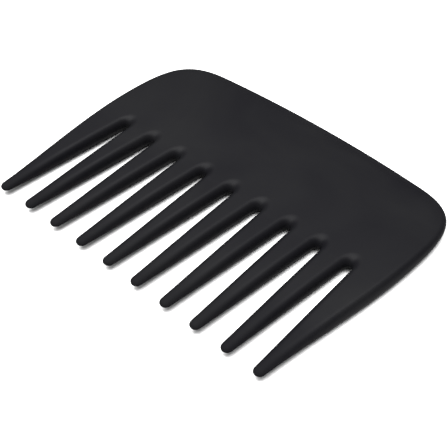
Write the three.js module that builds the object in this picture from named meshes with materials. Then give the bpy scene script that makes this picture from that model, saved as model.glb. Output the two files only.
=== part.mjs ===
// A wide tooth comb: one flat plastic moulding, a broad back with ten long tapering teeth.
// It lies flat. Millimetres, X along the comb, the teeth pointing to -Y, Z up from the surface below.
// Heights along Y are counted from the line of the tooth tips, and the whole comb is then centred on Y.
// The back and each tooth are closed solids that meet face to face on the root line.
import * as THREE from 'three';
import { ParametricGeometry } from 'three/addons/geometries/ParametricGeometry.js';

// Teeth and gaps
const TOOTH_COUNT = 10;
const TIP_PITCH = 12.95; // between neighbouring tooth tips
const ROOT_PITCH = 12.85; // between neighbouring gap roots, so the teeth splay very slightly
const GAP_DEPTH = 52.6; // from the tips to the deepest point of a gap
const GAP_ROOT_HALF_WIDTH = 1.5;
const GAP_ROOT_LENGTH = 2.4; // the rounded end of a gap
const TIP_HALF_WIDTH = 2;
const TIP_LENGTH = 2.1; // the rounded end of a tooth

// Outline of the back
const COMB_DEPTH = 100.3; // from the tips to the top of the spine
const WIDEST_HALF_WIDTH = 66;
const WIDEST_HEIGHT = 65.5;
const SIDE_SLOPE = Math.tan(THREE.MathUtils.degToRad(4.2)); // the outer edge of an end tooth at its tip
const SIDE_HANDLE = 19.5; // how straight the shoulder leaves the side
const SPINE_HANDLE = 18.5; // how straight the shoulder meets the spine
const SPINE_HALF_LENGTH = 46;
const SPINE_RADIUS = 488;

// Thickness, thinning from a flat band at the roots to the tips and to the spine
const BODY_THICKNESS = 5.9;
const TIP_THICKNESS = 2.6;
const SPINE_THICKNESS = 1.6;
const FALL_POWER = 1.8; // 1 would thin the back evenly towards the spine, and more thins it later
const BAND_START = 45;
const BAND_END = 68.5; // in the middle of the comb
const BAND_DROP = 15; // how much lower the band ends at the sides

// Every edge is a full round: half an ellipse over the whole thickness
const EDGE_ROUND = 2.4; // how far the round reaches into the face
const GAP_ROOT_ROUND = 4.1; // how far it reaches into the back past the deepest point of a gap

// Fineness of the faceting
const ROUND_STEPS = 4;
const TIP_STEPS = 3;
const TOOTH_STEPS = 7;
const GAP_ROOT_STEPS = 6;
const SIDE_STEPS = 6;
const FACE_STEPS = 4;
const HALVINGS = 30; // to find where a line crosses the end of the flat band

// The lines across the back fan out of each gap root as far as the waist line, and then turn
const WAIST_RISE = 7.2; // above the root line
const FAN_HALF_WIDTH = 4.2; // of the lines of one gap root, on the waist line

const ROOT_LINE = GAP_DEPTH - GAP_ROOT_LENGTH; // where the teeth join the back
const WAIST = ROOT_LINE + WAIST_RISE;
const MID_PLANE = BODY_THICKNESS / 2;
const GAP_COUNT = TOOTH_COUNT - 1;
const END_TIP_X = (TOOTH_COUNT / 2 - 0.5) * TIP_PITCH;

const plastic = new THREE.MeshStandardMaterial({ color: 0x2e2e31, roughness: 0.5, metalness: 0 });

// Height at which the flat band ends, an arch over the tooth roots.
function bandEndAt(x) {
  return BAND_END - BAND_DROP * (x / WIDEST_HALF_WIDTH) ** 2;
}

// Thickness of a tooth at a height above the tips.
function toothThickness(height) {
  const rise = Math.sin((Math.PI / 2) * Math.min(1, height / BAND_START));
  return TIP_THICKNESS + (BODY_THICKNESS - TIP_THICKNESS) * rise;
}

// Thickness of the back at a place on it.
function backThickness({ x, y }) {
  const bandEnd = bandEndAt(x);
  const fall = Math.max(0, y - bandEnd) / (COMB_DEPTH - bandEnd);
  return BODY_THICKNESS - (BODY_THICKNESS - SPINE_THICKNESS) * fall ** FALL_POWER;
}

// Half width of the comb along its side, a cubic from the end tooth's tip to the widest point.
function sideAt(height) {
  const span = WIDEST_HEIGHT - TIP_LENGTH;
  const t = THREE.MathUtils.clamp((height - TIP_LENGTH) / span, 0, 1);
  const start = (END_TIP_X + TIP_HALF_WIDTH) * (2 * t ** 3 - 3 * t ** 2 + 1);
  const slope = span * SIDE_SLOPE * (t ** 3 - 2 * t ** 2 + t);
  return start + slope + WIDEST_HALF_WIDTH * (3 * t ** 2 - 2 * t ** 3);
}

// One edge, from its underside over the parting line to its top side. An edge point is
// { x, y } on the outline, reach is how far along X and Y the rounding goes into the material,
// and half is half the thickness there.
function edgeSection(edge, reach, half) {
  const points = [];
  for (let step = -ROUND_STEPS; step <= ROUND_STEPS; step++) {
    const angle = (Math.PI / 2) * (step / ROUND_STEPS);
    const inset = 1 - Math.cos(angle);
    const lift = Math.sin(angle) * half;
    points.push(new THREE.Vector3(edge.x + reach.x * inset, edge.y + reach.y * inset, MID_PLANE + lift));
  }
  return points;
}

// A closed skin through a row of closed sections, the first and the last of which are shut.
// Looking along the row, each section turns anticlockwise.
function skin(sections) {
  const around = sections[0].length;
  const along = sections.length - 1;
  const place = (u, v, target) => {
    const section = sections[Math.round(v * along)];
    target.copy(section[Math.round((1 - u) * around) % around]);
  };
  return new ParametricGeometry(place, around, along);
}

// The two edges of a tooth at a height: straight flanks, but a curved outer side on the end teeth.
function toothEdges(index, height) {
  const place = index - GAP_COUNT / 2;
  const tip = place * TIP_PITCH;
  const rise = (height - TIP_LENGTH) / (ROOT_LINE - TIP_LENGTH);
  const leftRoot = (place - 0.5) * ROOT_PITCH + GAP_ROOT_HALF_WIDTH;
  const rightRoot = (place + 0.5) * ROOT_PITCH - GAP_ROOT_HALF_WIDTH;
  const left = THREE.MathUtils.lerp(tip - TIP_HALF_WIDTH, leftRoot, rise);
  const right = THREE.MathUtils.lerp(tip + TIP_HALF_WIDTH, rightRoot, rise);
  return {
    left: index === 0 ? -sideAt(height) : left,
    right: index === GAP_COUNT ? sideAt(height) : right,
  };
}

// One section across a tooth, as a closed loop: up its right edge and down its left one.
function toothSection(index, height, narrowing) {
  const edges = toothEdges(index, Math.max(height, TIP_LENGTH));
  const middle = (edges.left + edges.right) / 2;
  const halfWidth = narrowing * (edges.right - edges.left) / 2;
  const round = Math.min(EDGE_ROUND, halfWidth);
  const half = narrowing * toothThickness(height) / 2;
  const right = edgeSection({ x: middle + halfWidth, y: height }, { x: -round, y: 0 }, half);
  const left = edgeSection({ x: middle - halfWidth, y: height }, { x: round, y: 0 }, half);
  return [...right, ...left.reverse()];
}

function buildTooth(index) {
  const sections = [];
  for (let step = 0; step < TIP_STEPS; step++) {
    const angle = (Math.PI / 2) * (step / TIP_STEPS);
    sections.push(toothSection(index, TIP_LENGTH * (1 - Math.cos(angle)), Math.sin(angle)));
  }
  for (let step = 0; step <= TOOTH_STEPS; step++) {
    sections.push(toothSection(index, THREE.MathUtils.lerp(TIP_LENGTH, ROOT_LINE, step / TOOTH_STEPS), 1));
  }
  const root = toothEdges(index, ROOT_LINE);
  const centre = new THREE.Vector3((root.left + root.right) / 2, ROOT_LINE, MID_PLANE);
  sections.push(sections[0].map(() => centre));
  return skin(sections);
}

// The lower side of the back, from left to right: the flat face of each tooth's root with the
// rounded root of a gap after it. Each entry has the points that stand on one spot of it, and the
// place on the waist line that the line across the back from there runs through, if it does.
function lowerSections() {
  const sections = [];
  const add = (edge, reach, waist) => {
    sections.push({ points: edgeSection(edge, reach, MID_PLANE), waist });
  };
  for (let index = 0; index < TOOTH_COUNT; index++) {
    const edges = toothEdges(index, ROOT_LINE);
    const gap = (index - GAP_COUNT / 2 + 0.5) * ROOT_PITCH;
    const isFirst = index === 0;
    const isLast = index === GAP_COUNT;
    const waistLeft = isFirst ? null : gap - ROOT_PITCH + FAN_HALF_WIDTH;
    const waistRight = isLast ? null : gap - FAN_HALF_WIDTH;
    if (isFirst) {
      add({ x: edges.left, y: ROOT_LINE }, { x: EDGE_ROUND, y: 0 }, null);
    }
    add({ x: edges.left + EDGE_ROUND, y: ROOT_LINE }, { x: 0, y: 0 }, waistLeft);
    add({ x: edges.right - EDGE_ROUND, y: ROOT_LINE }, { x: 0, y: 0 }, waistRight);
    if (isLast) {
      add({ x: edges.right, y: ROOT_LINE }, { x: -EDGE_ROUND, y: 0 }, null);
      continue;
    }
    for (let step = 0; step <= GAP_ROOT_STEPS; step++) {
      const angle = Math.PI * (1 - step / GAP_ROOT_STEPS);
      const across = Math.cos(angle);
      const up = step % GAP_ROOT_STEPS === 0 ? 0 : Math.sin(angle);
      const edge = { x: gap + GAP_ROOT_HALF_WIDTH * across, y: ROOT_LINE + GAP_ROOT_LENGTH * up };
      add(edge, { x: EDGE_ROUND * across, y: GAP_ROOT_ROUND * up }, gap + FAN_HALF_WIDTH * across);
    }
  }
  return sections;
}

// The outer outline of the back from the root line on the left, over the spine, to the right.
function outerOutline() {
  const reach = Math.asin(SPINE_HALF_LENGTH / SPINE_RADIUS);
  const spineCentre = COMB_DEPTH - SPINE_RADIUS;
  const spineEnd = new THREE.Vector2(SPINE_HALF_LENGTH, spineCentre + SPINE_RADIUS * Math.cos(reach));
  const side = [];
  for (let step = 0; step <= SIDE_STEPS; step++) {
    const height = THREE.MathUtils.lerp(ROOT_LINE, WIDEST_HEIGHT, step / SIDE_STEPS);
    side.push(new THREE.Vector2(sideAt(height), height));
  }
  const shoulder = new THREE.CubicBezierCurve(
    new THREE.Vector2(WIDEST_HALF_WIDTH, WIDEST_HEIGHT),
    new THREE.Vector2(WIDEST_HALF_WIDTH, WIDEST_HEIGHT + SIDE_HANDLE),
    new THREE.Vector2(
      spineEnd.x + SPINE_HANDLE * Math.cos(reach),
      spineEnd.y - SPINE_HANDLE * Math.sin(reach),
    ),
    spineEnd,
  );
  const spine = new THREE.EllipseCurve(
    0, spineCentre, SPINE_RADIUS, SPINE_RADIUS, Math.PI / 2 - reach, Math.PI / 2, false,
  );
  const half = new THREE.CurvePath();
  half.add(new THREE.SplineCurve(side));
  half.add(shoulder);
  half.add(spine);
  return half;
}

// The outer side of the back as sections, as many as the lower side has, evenly spaced.
function outerSections(count) {
  const half = outerOutline();
  const sections = [];
  for (let index = 0; index < count; index++) {
    const share = (2 * index) / (count - 1);
    const onLeft = share <= 1;
    const along = onLeft ? share : 2 - share;
    const point = half.getPointAt(along);
    const tangent = half.getTangentAt(along);
    const mirror = onLeft ? -1 : 1;
    if (along === 0) {
      point.set(sideAt(ROOT_LINE), ROOT_LINE);
      tangent.set(0, 1);
    }
    const edge = { x: mirror * point.x, y: point.y };
    const reach = { x: -mirror * tangent.y * EDGE_ROUND, y: tangent.x * EDGE_ROUND };
    sections.push(edgeSection(edge, reach, backThickness(edge) / 2));
  }
  return sections;
}

// How far along a line across the back the flat band ends, as a share of its length.
function bandShare(from, to) {
  let inside = 0;
  let outside = 1;
  for (let halving = 0; halving < HALVINGS; halving++) {
    const share = (inside + outside) / 2;
    const point = from.clone().lerp(to, share);
    if (point.y > bandEndAt(point.x)) {
      outside = share;
    } else {
      inside = share;
    }
  }
  return inside;
}

// Points of one face of the back between its lower and its outer edge. The first stands on the
// waist line, and the second on the end of the flat band, so that the band stays flat.
function faceRow(from, waist, to, side) {
  const turn = from.clone().lerp(to, bandShare(from, to) / 2);
  if (waist !== null) {
    turn.set(waist, WAIST, from.z);
  }
  const start = to.y > bandEndAt(to.x) ? bandShare(turn, to) : 1 / FACE_STEPS;
  const points = [turn];
  for (let step = 0; step < FACE_STEPS; step++) {
    const point = turn.clone().lerp(to, THREE.MathUtils.lerp(start, 1, step / FACE_STEPS));
    point.z = MID_PLANE + side * backThickness(point) / 2;
    points.push(point);
  }
  return points;
}

function buildBack() {
  const lower = lowerSections();
  const outer = outerSections(lower.length);
  const loops = lower.map(({ points, waist }, index) => {
    const topDown = outer[index].slice().reverse();
    const top = faceRow(points.at(-1), waist, topDown[0], 1);
    const underside = faceRow(points[0], waist, topDown.at(-1), -1).reverse();
    return [...points, ...top, ...topDown, ...underside];
  });
  return skin(loops);
}

const comb = new THREE.Group();
comb.name = 'wide_tooth_comb';
comb.position.y = -COMB_DEPTH / 2;

function addPiece(name, geometry) {
  const mesh = new THREE.Mesh(geometry, plastic.clone());
  mesh.name = name;
  comb.add(mesh);
}

addPiece('back', buildBack());
for (let index = 0; index < TOOTH_COUNT; index++) {
  addPiece(`tooth_${String(index + 1).padStart(2, '0')}`, buildTooth(index));
}

const part = new THREE.Group();
part.add(comb);

export default part;
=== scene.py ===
"""A wide tooth comb, one flat plastic moulding: a broad back with ten long tapering teeth.

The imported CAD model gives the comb's place and main sizes, and the finer ones that its boxes can't
show are repeated here. Each CAD solid is replaced by a fine mesh of the same feature: the back, and
each tooth. Lengths in this script are in millimetres, with heights counted from the line of the
tooth tips, and become metres in the frame's place in add_piece().
"""
import math

import bpy
import numpy as np
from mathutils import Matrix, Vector


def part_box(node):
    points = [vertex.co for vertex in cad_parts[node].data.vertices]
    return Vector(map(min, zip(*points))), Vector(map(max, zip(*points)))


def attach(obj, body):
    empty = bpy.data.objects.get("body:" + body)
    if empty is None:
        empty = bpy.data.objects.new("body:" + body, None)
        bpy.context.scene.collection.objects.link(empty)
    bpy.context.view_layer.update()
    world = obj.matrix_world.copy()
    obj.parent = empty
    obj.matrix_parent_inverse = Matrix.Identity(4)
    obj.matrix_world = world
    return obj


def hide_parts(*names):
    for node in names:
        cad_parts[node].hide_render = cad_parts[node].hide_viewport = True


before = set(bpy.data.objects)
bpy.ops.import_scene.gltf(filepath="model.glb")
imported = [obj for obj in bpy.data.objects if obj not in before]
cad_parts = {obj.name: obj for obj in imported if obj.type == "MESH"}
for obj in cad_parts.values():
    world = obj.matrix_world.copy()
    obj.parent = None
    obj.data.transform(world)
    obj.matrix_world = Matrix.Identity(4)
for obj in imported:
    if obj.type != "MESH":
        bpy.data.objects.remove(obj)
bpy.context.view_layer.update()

MM = 0.001  # metres

# ---------------------------------------------------------------- sizes from the frame
back_low, back_high = (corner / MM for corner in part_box("back"))
middle_tooth_low, middle_tooth_high = (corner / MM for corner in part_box("tooth_06"))
TIP_LINE = middle_tooth_low.y
ROOT_LINE = back_low.y - TIP_LINE  # where the teeth join the back
COMB_DEPTH = back_high.y - TIP_LINE
WIDEST_HALF_WIDTH = back_high.x
BODY_THICKNESS = back_high.z
GAP_ROOT_HALF_WIDTH = middle_tooth_low.x
ROOT_PITCH = middle_tooth_low.x + middle_tooth_high.x
TOOTH_COUNT = sum(name.startswith("tooth_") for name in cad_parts)
GAP_COUNT = TOOTH_COUNT - 1
MID_PLANE = BODY_THICKNESS / 2

# ---------------------------------------------------------------- sizes as in the CAD part
TIP_PITCH = 12.95
TIP_HALF_WIDTH = 2.0
TIP_LENGTH = 2.1
WIDEST_HEIGHT = 65.5
SIDE_SLOPE = math.tan(math.radians(4.2))
SIDE_HANDLE = 19.5
SPINE_HANDLE = 18.5
SPINE_HALF_LENGTH = 46.0
SPINE_RADIUS = 488.0
TIP_THICKNESS = 2.6
SPINE_THICKNESS = 1.6
FALL_POWER = 1.8
BAND_START = 45.0
BAND_END = 68.5
BAND_DROP = 15.0
EDGE_ROUND = 2.4
GAP_ROOT_LENGTH = 2.4
GAP_ROOT_ROUND = 4.1
WAIST_RISE = 7.2
FAN_HALF_WIDTH = 4.2
END_TIP_X = (TOOTH_COUNT / 2 - 0.5) * TIP_PITCH
WAIST = ROOT_LINE + WAIST_RISE

# ---------------------------------------------------------------- details only the fine mesh has
PARTING_LINE_HEIGHT = 0.04  # the fine line that the two halves of the mould leave
PARTING_LINE_HALF_WIDTH = 0.12
TIP_WEAR_LENGTH = 10.0  # how far up the teeth the rubbing of hair reaches
TIP_WEAR = 0.2  # strengths of the rubbing at the tips and along the edges, from 0 to 1
EDGE_WEAR = 0.7
MATTED_LENGTH = 30.0  # how far up the teeth fine scratches from hair take off the gloss

# ---------------------------------------------------------------- fineness of the meshes
ROUND_STEPS = 9
TIP_STEPS = 9
TOOTH_STEPS = 40
GAP_ROOT_STEPS = 20
FLAT_STEPS = 6
CURVE_SAMPLES = 400
WAIST_STEPS = 6
FACE_STEPS = 28
WELD = 0.0002  # points nearer together than this become one
SHORTEST_NORMAL = 1e-12


def mix(start, end, share):
    """The value a share of the way from start to end."""
    return start + (end - start) * share


# ================================================================ the shape
def band_end_at(x):
    """Height at which the flat band ends, an arch over the tooth roots."""
    return BAND_END - BAND_DROP * (x / WIDEST_HALF_WIDTH) ** 2


def tooth_thickness(height):
    """Thickness of a tooth at a height above the tips."""
    rise = math.sin(math.pi / 2 * min(1.0, height / BAND_START))
    return mix(TIP_THICKNESS, BODY_THICKNESS, rise)


def back_thickness(x, height):
    """Thickness of the back at a place on it."""
    band_end = band_end_at(x)
    fall = np.maximum(0.0, height - band_end) / (COMB_DEPTH - band_end)
    return mix(BODY_THICKNESS, SPINE_THICKNESS, fall ** FALL_POWER)


def side_at(height):
    """Half width of the comb along its side, a cubic from the end tooth's tip to the widest point."""
    span = WIDEST_HEIGHT - TIP_LENGTH
    t = np.clip((height - TIP_LENGTH) / span, 0.0, 1.0)
    start = (END_TIP_X + TIP_HALF_WIDTH) * (2 * t ** 3 - 3 * t ** 2 + 1)
    slope = span * SIDE_SLOPE * (t ** 3 - 2 * t ** 2 + t)
    return start + slope + WIDEST_HALF_WIDTH * (3 * t ** 2 - 2 * t ** 3)


def edge_profile():
    """An edge's cross-section from its underside to its top, as columns: how far in, as a share of
    the rounding's reach, how high, as a share of half the thickness, and how far it stands proud."""
    line = PARTING_LINE_HALF_WIDTH / MID_PLANE
    angles = np.linspace(math.asin(line), math.pi / 2, ROUND_STEPS + 1)
    upper = [(1 - math.cos(angle), math.sin(angle), 0.0) for angle in angles]
    lower = [(i, -up, proud) for i, up, proud in reversed(upper)]
    return np.array([*lower, (0.0, 0.0, PARTING_LINE_HEIGHT), *upper])


PROFILE = edge_profile()


def edge_section(x, height, inward, reach, half, share=1.0):
    """The points of one edge, from its underside over the parting line to its top. inward points
    into the material, reach is how far the rounding goes, and half is half the thickness."""
    inset = PROFILE[:, 0] * reach - PROFILE[:, 2] * share
    return np.column_stack([
        x + inward[0] * inset,
        height + inward[1] * inset,
        MID_PLANE + PROFILE[:, 1] * half,
    ])


def tooth_edges(index, height):
    """Left and right edge of a tooth at a height: straight flanks, but a curved outer side on the
    end teeth."""
    place = index - GAP_COUNT / 2
    rise = (height - TIP_LENGTH) / (ROOT_LINE - TIP_LENGTH)
    tip = place * TIP_PITCH
    root_left = (place - 0.5) * ROOT_PITCH + GAP_ROOT_HALF_WIDTH
    root_right = (place + 0.5) * ROOT_PITCH - GAP_ROOT_HALF_WIDTH
    left = mix(tip - TIP_HALF_WIDTH, root_left, rise)
    right = mix(tip + TIP_HALF_WIDTH, root_right, rise)
    if index == 0:
        left = -side_at(height)
    if index == GAP_COUNT:
        right = side_at(height)
    return left, right


def between(start, end, steps):
    """The points strictly between two points, on a straight line."""
    shares = np.arange(1, steps)[:, None] / steps
    return mix(start, end, shares)


def tooth_section(index, height, narrowing):
    """One closed section across a tooth: up its right edge, over its face, down its left edge."""
    left, right = tooth_edges(index, max(height, TIP_LENGTH))
    middle = (left + right) / 2
    half_width = narrowing * (right - left) / 2
    reach = min(EDGE_ROUND, half_width)
    half = narrowing * tooth_thickness(height) / 2
    rising = edge_section(middle + half_width, height, (-1, 0), reach, half, narrowing)
    falling = edge_section(middle - half_width, height, (1, 0), reach, half, narrowing)[::-1]
    face = between(rising[-1], falling[0], FLAT_STEPS)
    underside = between(falling[-1], rising[0], FLAT_STEPS)
    return np.vstack([rising, face, falling, underside])


def tooth_mesh(index):
    """Points, outer faces and root face of a tooth."""
    sections = []
    for angle in np.linspace(0.0, math.pi / 2, TIP_STEPS + 1)[:-1]:
        sections.append(tooth_section(index, TIP_LENGTH * (1 - math.cos(angle)), math.sin(angle)))
    for height in np.linspace(TIP_LENGTH, ROOT_LINE, TOOTH_STEPS + 1):
        sections.append(tooth_section(index, height, 1.0))
    around = len(sections[0])
    faces = skin_faces(len(sections), around)
    root = (len(sections) - 1) * around
    cap = list(range(root, root + around))[::-1]
    return np.vstack(sections), faces, [cap]


def skin_faces(rows, around):
    """Four-sided faces between neighbouring closed rows of points."""
    faces = []
    for row in range(rows - 1):
        for step in range(around):
            following = (step + 1) % around
            faces.append([
                row * around + step,
                (row + 1) * around + step,
                (row + 1) * around + following,
                row * around + following,
            ])
    return faces


def lower_sections():
    """The lower side of the back, from left to right: the flat face of each tooth's root, with the
    rounded root of a gap after it. Each entry has the points that stand on one spot, the x at which
    the line from there across the back crosses the waist line, or None if it runs straight, and
    whether it counts with a tooth's root face."""
    sections = []
    half = MID_PLANE
    for index in range(TOOTH_COUNT):
        left, right = tooth_edges(index, ROOT_LINE)
        gap = (index - GAP_COUNT / 2 + 0.5) * ROOT_PITCH
        if index == 0:
            sections.append((edge_section(left, ROOT_LINE, (1, 0), EDGE_ROUND, half), None, True))
        waist_left = gap - ROOT_PITCH + FAN_HALF_WIDTH
        waist_right = gap - FAN_HALF_WIDTH
        for step in range(FLAT_STEPS + 1):
            share = step / FLAT_STEPS
            x = mix(right - EDGE_ROUND, left + EDGE_ROUND, 1 - share)
            waist = mix(waist_left, waist_right, share)
            if index in (0, GAP_COUNT):
                waist = None
            sections.append((edge_section(x, ROOT_LINE, (0, 0), 0.0, half), waist, True))
        if index == GAP_COUNT:
            sections.append((edge_section(right, ROOT_LINE, (-1, 0), EDGE_ROUND, half), None, True))
            continue
        for step in range(GAP_ROOT_STEPS + 1):
            angle = math.pi * (1 - step / GAP_ROOT_STEPS)
            across = math.cos(angle)
            up = 0.0 if step in (0, GAP_ROOT_STEPS) else math.sin(angle)
            x = gap + GAP_ROOT_HALF_WIDTH * across
            height = ROOT_LINE + GAP_ROOT_LENGTH * up
            inward = Vector((EDGE_ROUND * across, GAP_ROOT_ROUND * up))
            points = edge_section(x, height, inward.normalized(), inward.length, half)
            sections.append((points, gap + FAN_HALF_WIDTH * across, step == 0))
    return sections


def outer_outline(count):
    """Points and tangents along the outer outline of the back, from the root line on the left over
    the spine to the right, evenly spaced."""
    reach = math.asin(SPINE_HALF_LENGTH / SPINE_RADIUS)
    spine_centre = COMB_DEPTH - SPINE_RADIUS
    spine_end = np.array([SPINE_HALF_LENGTH, spine_centre + SPINE_RADIUS * math.cos(reach)])
    heights = np.linspace(ROOT_LINE, WIDEST_HEIGHT, CURVE_SAMPLES)
    side = np.column_stack([side_at(heights), heights])
    handles = [
        np.array([WIDEST_HALF_WIDTH, WIDEST_HEIGHT]),
        np.array([WIDEST_HALF_WIDTH, WIDEST_HEIGHT + SIDE_HANDLE]),
        spine_end + SPINE_HANDLE * np.array([math.cos(reach), -math.sin(reach)]),
        spine_end,
    ]
    t = np.linspace(0.0, 1.0, CURVE_SAMPLES)[:, None]
    shoulder = sum(
        math.comb(3, k) * (1 - t) ** (3 - k) * t ** k * handle for k, handle in enumerate(handles)
    )
    angles = np.linspace(reach, 0.0, CURVE_SAMPLES)
    spine = np.column_stack([
        SPINE_RADIUS * np.sin(angles),
        spine_centre + SPINE_RADIUS * np.cos(angles),
    ])
    half = np.vstack([side, shoulder[1:], spine[1:]])
    line = np.vstack([half * (-1, 1), half[::-1][1:]])
    lengths = np.concatenate([[0.0], np.cumsum(np.linalg.norm(np.diff(line, axis=0), axis=1))])
    wanted = np.linspace(0.0, lengths[-1], count)
    points = np.column_stack([np.interp(wanted, lengths, line[:, axis]) for axis in (0, 1)])
    slopes = np.gradient(line, lengths, axis=0)
    tangents = np.column_stack([np.interp(wanted, lengths, slopes[:, axis]) for axis in (0, 1)])
    tangents /= np.linalg.norm(tangents, axis=1)[:, None]
    return points, tangents


def outer_sections(count):
    """The outer side of the back as edge sections."""
    points, tangents = outer_outline(count)
    sections = []
    for index, (point, tangent) in enumerate(zip(points, tangents)):
        inward = (tangent[1], -tangent[0])
        if index in (0, count - 1):
            inward = (1 if index == 0 else -1, 0)
        half = back_thickness(*point) / 2
        sections.append(edge_section(*point, inward, EDGE_ROUND, half))
    return sections


def face_row(start, waist, end, side):
    """Points of one face of the back between its lower and its outer edge."""
    turn = mix(start, end, WAIST_STEPS / (WAIST_STEPS + FACE_STEPS))
    if waist is not None:
        turn = np.array([waist, WAIST, start[2]])
    row = np.vstack([between(start, turn, WAIST_STEPS), turn, between(turn, end, FACE_STEPS)])
    row[:, 2] = MID_PLANE + side * back_thickness(row[:, 0], row[:, 1]) / 2
    return row


def back_mesh():
    """Points, outer faces and root faces of the back."""
    lower = lower_sections()
    outer = outer_sections(len(lower))
    loops = []
    for (points, waist, _), falling in zip(lower, outer):
        top = face_row(points[-1], waist, falling[-1], 1)
        underside = face_row(points[0], waist, falling[0], -1)
        loops.append(np.vstack([points, top, falling[::-1], underside[::-1]]))
    around = len(loops[0])
    edge_points = len(PROFILE)
    outer_faces = []
    root_faces = []
    for face in skin_faces(len(loops), around):
        row = face[0] // around
        on_lower_edge = all(corner % around < edge_points for corner in face)
        is_root = on_lower_edge and lower[row][2] and lower[row + 1][2]
        (root_faces if is_root else outer_faces).append(face)
    return np.vstack(loops), outer_faces, root_faces


# ================================================================ meshes
def welded(points, faces):
    """Merges the points that share a place, and leaves out the faces that this closes."""
    keys = np.round(points / WELD).astype(np.int64)
    _, first, place = np.unique(keys, axis=0, return_index=True, return_inverse=True)
    place = place.reshape(-1)
    kept = []
    for face in faces:
        corners = []
        for corner in place[face]:
            if corner not in corners:
                corners.append(int(corner))
        kept.append(corners if len(corners) > 2 else None)
    return points[first], kept


def add_piece(name, node, points, outer_faces, root_faces):
    """A new mesh object for one feature, standing for its CAD node."""
    places, faces = welded(points, outer_faces + root_faces)
    is_root = [False] * len(outer_faces) + [True] * len(root_faces)
    is_root = [flag for flag, face in zip(is_root, faces) if face]
    faces = [face for face in faces if face]
    mesh = bpy.data.meshes.new(name)
    mesh.from_pydata(((places + (0, TIP_LINE, 0)) * MM).tolist(), [], faces)
    mesh.polygons.foreach_set("use_smooth", [True] * len(faces))
    piece = bpy.data.objects.new(name, mesh)
    bpy.context.scene.collection.objects.link(piece)
    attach(piece, "root")
    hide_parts(node)
    return piece, np.array(is_root)


def read(collection, field, width, kind=float):
    """One field of every element of a mesh collection, as rows."""
    values = np.zeros(len(collection) * width, kind)
    collection.foreach_get(field, values)
    return values.reshape(-1, width) if width > 1 else values


def mark_wear(pieces):
    """Stores how rubbed each point is by use, at the tooth tips and along every edge, and how much
    hair has matted it with fine scratches, which is most at the tips."""
    for piece, _ in pieces:
        mesh = piece.data
        heights = read(mesh.vertices, "co", 3)[:, 1] / MM - TIP_LINE
        edge = 1 - np.abs(read(mesh.vertices, "normal", 3)[:, 2])
        tip = np.clip(1 - heights / TIP_WEAR_LENGTH, 0.0, 1.0) ** 2
        wear = np.clip(EDGE_WEAR * edge + TIP_WEAR * tip, 0.0, 1.0)
        mesh.attributes.new("wear", "FLOAT", "POINT").data.foreach_set("value", wear)
        matted = np.clip(1 - heights / MATTED_LENGTH, 0.0, 1.0)
        mesh.attributes.new("matted", "FLOAT", "POINT").data.foreach_set("value", matted)


def join_shading(pieces):
    """Gives the pieces one set of smooth normals, so that the moulding has no seam between its
    back and its teeth. The hidden root faces, where they meet, stay flat."""
    positions = [read(piece.data.vertices, "co", 3) / MM for piece, _ in pieces]
    keys = np.round(np.vstack(positions) / WELD).astype(np.int64)
    _, shared = np.unique(keys, axis=0, return_inverse=True)
    shared = shared.reshape(-1)
    sums = np.zeros((shared.max() + 1, 3))
    corners = []
    offset = 0
    for piece, is_root in pieces:
        mesh = piece.data
        normals = read(mesh.polygons, "normal", 3)
        areas = read(mesh.polygons, "area", 1)
        corner_counts = read(mesh.polygons, "loop_total", 1, int)
        polygon_of = np.repeat(np.arange(len(mesh.polygons)), corner_counts)
        place = shared[offset + read(mesh.loops, "vertex_index", 1, int)]
        weight = (areas * ~is_root)[polygon_of]
        np.add.at(sums, place, normals[polygon_of] * weight[:, None])
        corners.append((place, normals[polygon_of], is_root[polygon_of]))
        offset += len(mesh.vertices)
    sums /= np.maximum(np.linalg.norm(sums, axis=1), SHORTEST_NORMAL)[:, None]
    for (piece, _), (place, flat, on_root) in zip(pieces, corners):
        piece.data.normals_split_custom_set(np.where(on_root[:, None], flat, sums[place]).tolist())


# ================================================================ materials
# Noise scales are in cells per metre. Gloss is the unevenness of the roughness, and scuff that of
# the wear.
NOISE_LOW, NOISE_HIGH = 0.3, 0.7  # the part of a noise's range that is spread over a look
PLASTIC_DARK = (0.0042, 0.0041, 0.0054)
PLASTIC_LIGHT = (0.0073, 0.0073, 0.0081)
PLASTIC_WORN = (0.0080, 0.0079, 0.0090)
SMUDGE_SCALE = 22.0
SMUDGE_DETAIL = 4.0
SMUDGE_DISTORTION = 0.8
SCUFF_SCALE = 400.0
SCUFF_DETAIL = 3.0
LEAST_SCUFF = 0.3
GLOSS_SCALE = 60.0
GLOSS_DETAIL = 4.0
ROUGHNESS_LOW, ROUGHNESS_HIGH = 0.33, 0.41
WORN_SMOOTHING = 0.08
MATTED_ROUGHENING = 0.35
SPECULAR_LEVEL = 0.05
GRAIN_SCALE = 3000.0
GRAIN_DETAIL = 2.0
GRAIN_STRENGTH = 0.3
GRAIN_HEIGHT = 0.02
FLOOR_COLOUR = (0.9, 0.9, 0.9, 1)
# painted shade: the darker grey that the floor shows only in the comb's reflections
FLOOR_REFLECTED_SHADE_COLOUR = (0.35, 0.35, 0.35, 1)
FLOOR_ROUGHNESS = 0.9


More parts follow.
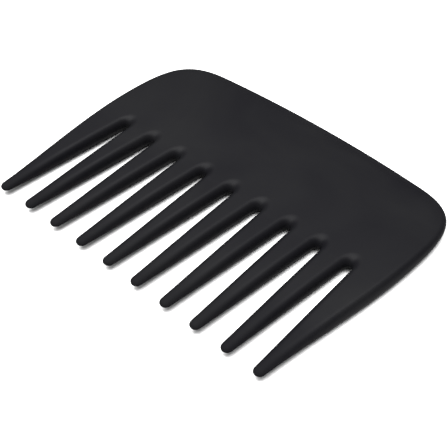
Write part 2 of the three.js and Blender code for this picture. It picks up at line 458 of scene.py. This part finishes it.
def comb_plastic():
    """Matt near-black moulded plastic: a fine grain, faint smudges from handling, edges that use
    has rubbed a little lighter and smoother, and tooth tips that hair has matted."""
    material = bpy.data.materials.new("comb_plastic")
    material.use_nodes = True
    nodes = material.node_tree.nodes
    link = material.node_tree.links.new
    shader = nodes["Principled BSDF"]
    place = nodes.new("ShaderNodeTexCoord").outputs["Object"]
    worn = nodes.new("ShaderNodeAttribute")
    worn.attribute_name = "wear"
    matted = nodes.new("ShaderNodeAttribute")
    matted.attribute_name = "matted"

    def noise(scale, detail, distortion=0.0):
        texture = nodes.new("ShaderNodeTexNoise")
        texture.inputs["Scale"].default_value = scale
        texture.inputs["Detail"].default_value = detail
        texture.inputs["Distortion"].default_value = distortion
        link(place, texture.inputs["Vector"])
        return texture.outputs["Fac"]

    def spread(value, low, high):
        remap = nodes.new("ShaderNodeMapRange")
        remap.inputs["From Min"].default_value = NOISE_LOW
        remap.inputs["From Max"].default_value = NOISE_HIGH
        remap.inputs["To Min"].default_value = low
        remap.inputs["To Max"].default_value = high
        link(value, remap.inputs["Value"])
        return remap.outputs["Result"]

    def blend(share, low, high):
        colours = nodes.new("ShaderNodeMix")
        colours.data_type = "RGBA"
        link(share, colours.inputs["Factor"])
        for side, colour in (("A", low), ("B", high)):
            if isinstance(colour, tuple):
                colours.inputs[side].default_value = (*colour, 1)
            else:
                link(colour, colours.inputs[side])
        return colours.outputs["Result"]

    def calculate(operation, first, second):
        step = nodes.new("ShaderNodeMath")
        step.operation = operation
        for socket, value in zip(step.inputs, (first, second)):
            if isinstance(value, float):
                socket.default_value = value
            else:
                link(value, socket)
        return step.outputs["Value"]

    smudge = spread(noise(SMUDGE_SCALE, SMUDGE_DETAIL, SMUDGE_DISTORTION), 0.0, 1.0)
    smudges = blend(smudge, PLASTIC_DARK, PLASTIC_LIGHT)
    scuff = spread(noise(SCUFF_SCALE, SCUFF_DETAIL), LEAST_SCUFF, 1.0)
    rubbed = calculate("MULTIPLY", worn.outputs["Fac"], scuff)
    link(blend(rubbed, smudges, PLASTIC_WORN), shader.inputs["Base Color"])
    matt = spread(noise(GLOSS_SCALE, GLOSS_DETAIL), ROUGHNESS_LOW, ROUGHNESS_HIGH)
    smoother = calculate("MULTIPLY", rubbed, WORN_SMOOTHING)
    rougher = calculate("MULTIPLY", matted.outputs["Fac"], MATTED_ROUGHENING)
    roughness = calculate("ADD", calculate("SUBTRACT", matt, smoother), rougher)
    link(roughness, shader.inputs["Roughness"])
    shader.inputs["Specular IOR Level"].default_value = SPECULAR_LEVEL

    bump = nodes.new("ShaderNodeBump")
    bump.inputs["Strength"].default_value = GRAIN_STRENGTH
    bump.inputs["Distance"].default_value = GRAIN_HEIGHT * MM
    link(noise(GRAIN_SCALE, GRAIN_DETAIL), bump.inputs["Height"])
    link(bump.outputs["Normal"], shader.inputs["Normal"])
    return material


def floor_paper():
    """The plain pale floor. Reflected rays see it in a darker grey, which is painted shade in the
    comb's reflections of it, so the comb mirrors it only faintly.
    """
    material = bpy.data.materials.new("floor_paper")
    material.use_nodes = True
    nodes = material.node_tree.nodes
    link = material.node_tree.links.new
    shader = nodes["Principled BSDF"]
    colour = nodes.new("ShaderNodeMix")
    colour.data_type = "RGBA"
    colour.inputs["A"].default_value = FLOOR_COLOUR
    colour.inputs["B"].default_value = FLOOR_REFLECTED_SHADE_COLOUR
    # Reflected rays see the floor darker: painted shade in the comb's reflections of it.
    link(nodes.new("ShaderNodeLightPath").outputs["Is Glossy Ray"], colour.inputs["Factor"])
    link(colour.outputs["Result"], shader.inputs["Base Color"])
    shader.inputs["Roughness"].default_value = FLOOR_ROUGHNESS
    shader.inputs["Specular IOR Level"].default_value = 0.0
    return material


# ================================================================ the comb
def build_comb():
    pieces = [add_piece("comb_back", "back", *back_mesh())]
    for index in range(TOOTH_COUNT):
        node = f"tooth_{index + 1:02d}"
        pieces.append(add_piece(f"comb_{node}", node, *tooth_mesh(index)))
    mark_wear(pieces)
    join_shading(pieces)
    plastic = comb_plastic()
    for piece, _ in pieces:
        piece.data.materials.append(plastic)


# ================================================================ studio
CAMERA_AZIMUTH = 43.294
CAMERA_ELEVATION = 44.081
CAMERA_DISTANCE = 359.5
CAMERA_LENS = 86.52
CAMERA_TARGET = Vector((7.47, -8.205, 0.0))
CAMERA_SHIFT = (-0.0054, 0.0016)
CAMERA_CLIP_START = 10.0
FLOOR_HALF_SIZE = 1500.0
SKY_STRENGTH = 9.5
# The soft light dome is brightest around one side of straight above, and fades away from it.
SKY_CENTRE = Vector((-0.1, 0.0, 1.0)).normalized()
SKY = ((0.1, 0.0), (0.4, 0.015), (0.6, 0.05), (0.78, 0.18), (0.87, 0.5), (0.95, 1.0))


def direction(azimuth, elevation):
    """Unit vector from the object towards that side of it."""
    a, e = math.radians(azimuth), math.radians(elevation)
    return Vector((math.sin(a) * math.cos(e), -math.cos(a) * math.cos(e), math.sin(e)))


def add_camera():
    camera = bpy.data.objects.new("camera", bpy.data.cameras.new("camera"))
    bpy.context.scene.collection.objects.link(camera)
    back = direction(CAMERA_AZIMUTH, CAMERA_ELEVATION)
    camera.location = (CAMERA_TARGET + back * CAMERA_DISTANCE) * MM
    camera.rotation_euler = (-back).to_track_quat("-Z", "Y").to_euler()
    camera.data.lens = CAMERA_LENS
    camera.data.shift_x, camera.data.shift_y = CAMERA_SHIFT
    camera.data.clip_start = CAMERA_CLIP_START * MM
    bpy.context.scene.camera = camera


def add_floor():
    mesh = bpy.data.meshes.new("floor")
    reach = FLOOR_HALF_SIZE * MM
    corners = [(-reach, -reach, 0), (reach, -reach, 0), (reach, reach, 0), (-reach, reach, 0)]
    mesh.from_pydata(corners, [], [(0, 1, 2, 3)])
    floor = bpy.data.objects.new("floor", mesh)
    bpy.context.scene.collection.objects.link(floor)
    floor.data.materials.append(floor_paper())


def add_sky():
    """The light dome. Straight into the camera it looks plain white."""
    world = bpy.data.worlds.new("studio")
    bpy.context.scene.world = world
    world.use_nodes = True
    nodes = world.node_tree.nodes
    link = world.node_tree.links.new
    place = nodes.new("ShaderNodeTexCoord").outputs["Generated"]
    towards = nodes.new("ShaderNodeVectorMath")
    towards.operation = "DOT_PRODUCT"
    towards.inputs[1].default_value = SKY_CENTRE
    ramp = nodes.new("ShaderNodeValToRGB")
    link(place, towards.inputs[0])
    link(towards.outputs["Value"], ramp.inputs["Fac"])
    ramp.color_ramp.elements[0].color = (0, 0, 0, 1)
    for nearness, glow in SKY:
        ramp.color_ramp.elements.new(nearness).color = (glow, glow, glow, 1)
    dome = nodes["Background"]
    dome.inputs["Strength"].default_value = SKY_STRENGTH
    link(ramp.outputs["Color"], dome.inputs["Color"])
    backdrop = nodes.new("ShaderNodeBackground")
    backdrop.inputs["Color"].default_value = (1, 1, 1, 1)
    seen = nodes.new("ShaderNodeMixShader")
    link(nodes.new("ShaderNodeLightPath").outputs["Is Camera Ray"], seen.inputs["Fac"])
    link(dome.outputs["Background"], seen.inputs[1])
    link(backdrop.outputs["Background"], seen.inputs[2])
    link(seen.outputs["Shader"], nodes["World Output"].inputs["Surface"])


def build_studio():
    bpy.context.scene.view_settings.view_transform = "Standard"
    add_sky()
    add_floor()
    add_camera()


build_comb()
build_studio()
